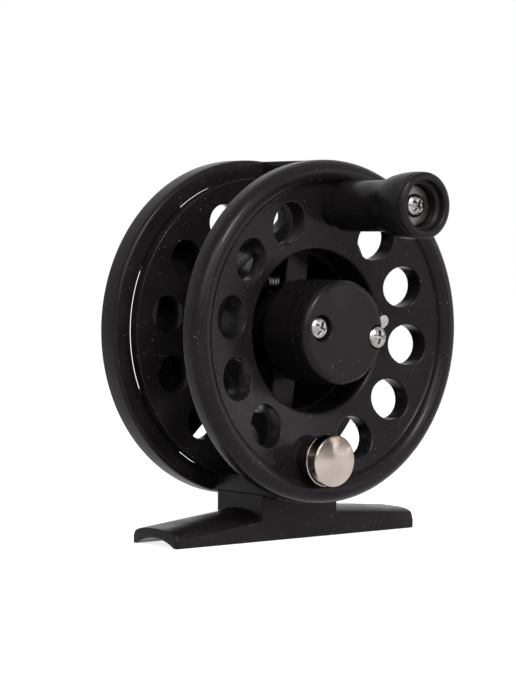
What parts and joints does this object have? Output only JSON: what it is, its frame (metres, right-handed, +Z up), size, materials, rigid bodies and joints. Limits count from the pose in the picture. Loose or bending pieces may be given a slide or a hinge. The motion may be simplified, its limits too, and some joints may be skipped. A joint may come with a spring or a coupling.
{
  "type": "ice fishing reel",
  "caption": "Small black inline ice fishing reel: a holed spool with a free-turning grip and a plated counterweight, on a rear ring with an arched rod foot.",
  "frame": {"origin": "centre of the foot's underside, in the plane of its two rails", "axes": "+Z up from the foot to the spool, X along the foot, +Y from the handle side towards the rear ring"},
  "size_m": [0.0656, 0.055, 0.0727],
  "materials": {
    "moulded_body": "satin black moulded plastic",
    "moulded_spool": "satin black moulded plastic",
    "moulded_cap": "satin black moulded plastic, fine grain",
    "moulded_grip": "satin black moulded plastic",
    "moulded_gear": "plain black acetal",
    "fibre": "red-brown fibre",
    "steel": "turned bright steel",
    "zinc": "zinc-plated steel",
    "steel_plate": "stamped bright steel",
    "spring_steel": "bright spring wire",
    "nickel": "bright nickel plate",
    "brass": "plain turned brass"
  },
  "bodies": {
    "reel_frame": {"frame": "moulded_body", "spindle": "steel", "spindle_washer": "zinc", "spindle_screw": "zinc", "wave_washer": "spring_steel", "pawl_pin": "steel", "pawl_spring": "spring_steel"},
    "spool": {"spool_front": "moulded_spool", "spool_rear": "moulded_spool", "bush_front": "brass", "bush_rear": "brass", "friction_washer": "fibre", "click_gear": "moulded_gear", "gear_screws": "zinc", "hub_cap": "moulded_cap", "hub_screw": "zinc", "latch_screw": "zinc", "latch_spring": "spring_steel", "handle_washer": "zinc", "handle_screw": "zinc", "counterweight": "nickel", "counterweight_screw": "zinc"},
    "latch": {"latch_lever": "steel_plate"},
    "pawl": {"click_pawl": "moulded_gear"},
    "grip": {"handle_grip": "moulded_grip"}
  },
  "joints": [
    {"name": "spool_spin", "type": "hinge", "parent": "reel_frame", "child": "spool", "pos_m": [0, -0.0045, 0.03995], "axis": [0, -1, 0], "continuous": true},
    {"name": "grip_spin", "type": "hinge", "parent": "spool", "child": "grip", "pos_m": [0.0033, -0.0265, 0.06369], "axis": [0, -1, 0], "continuous": true},
    {"name": "latch_release", "type": "hinge", "parent": "spool", "child": "latch", "pos_m": [0.0084, -0.01545, 0.0389], "axis": [0, 1, 0], "range_deg": [0, 8], "stiffness_Nm_per_rad": 0.01, "springref_deg": -20.05, "deforming": ["latch_spring"]},
    {"name": "pawl_lift", "type": "hinge", "parent": "reel_frame", "child": "pawl", "pos_m": [0.0005, 0.0092, 0.05215], "axis": [0, -1, 0], "range_deg": [0, 8], "stiffness_Nm_per_rad": 0.005, "springref_deg": -20.05, "deforming": ["pawl_spring"]}
  ]
}
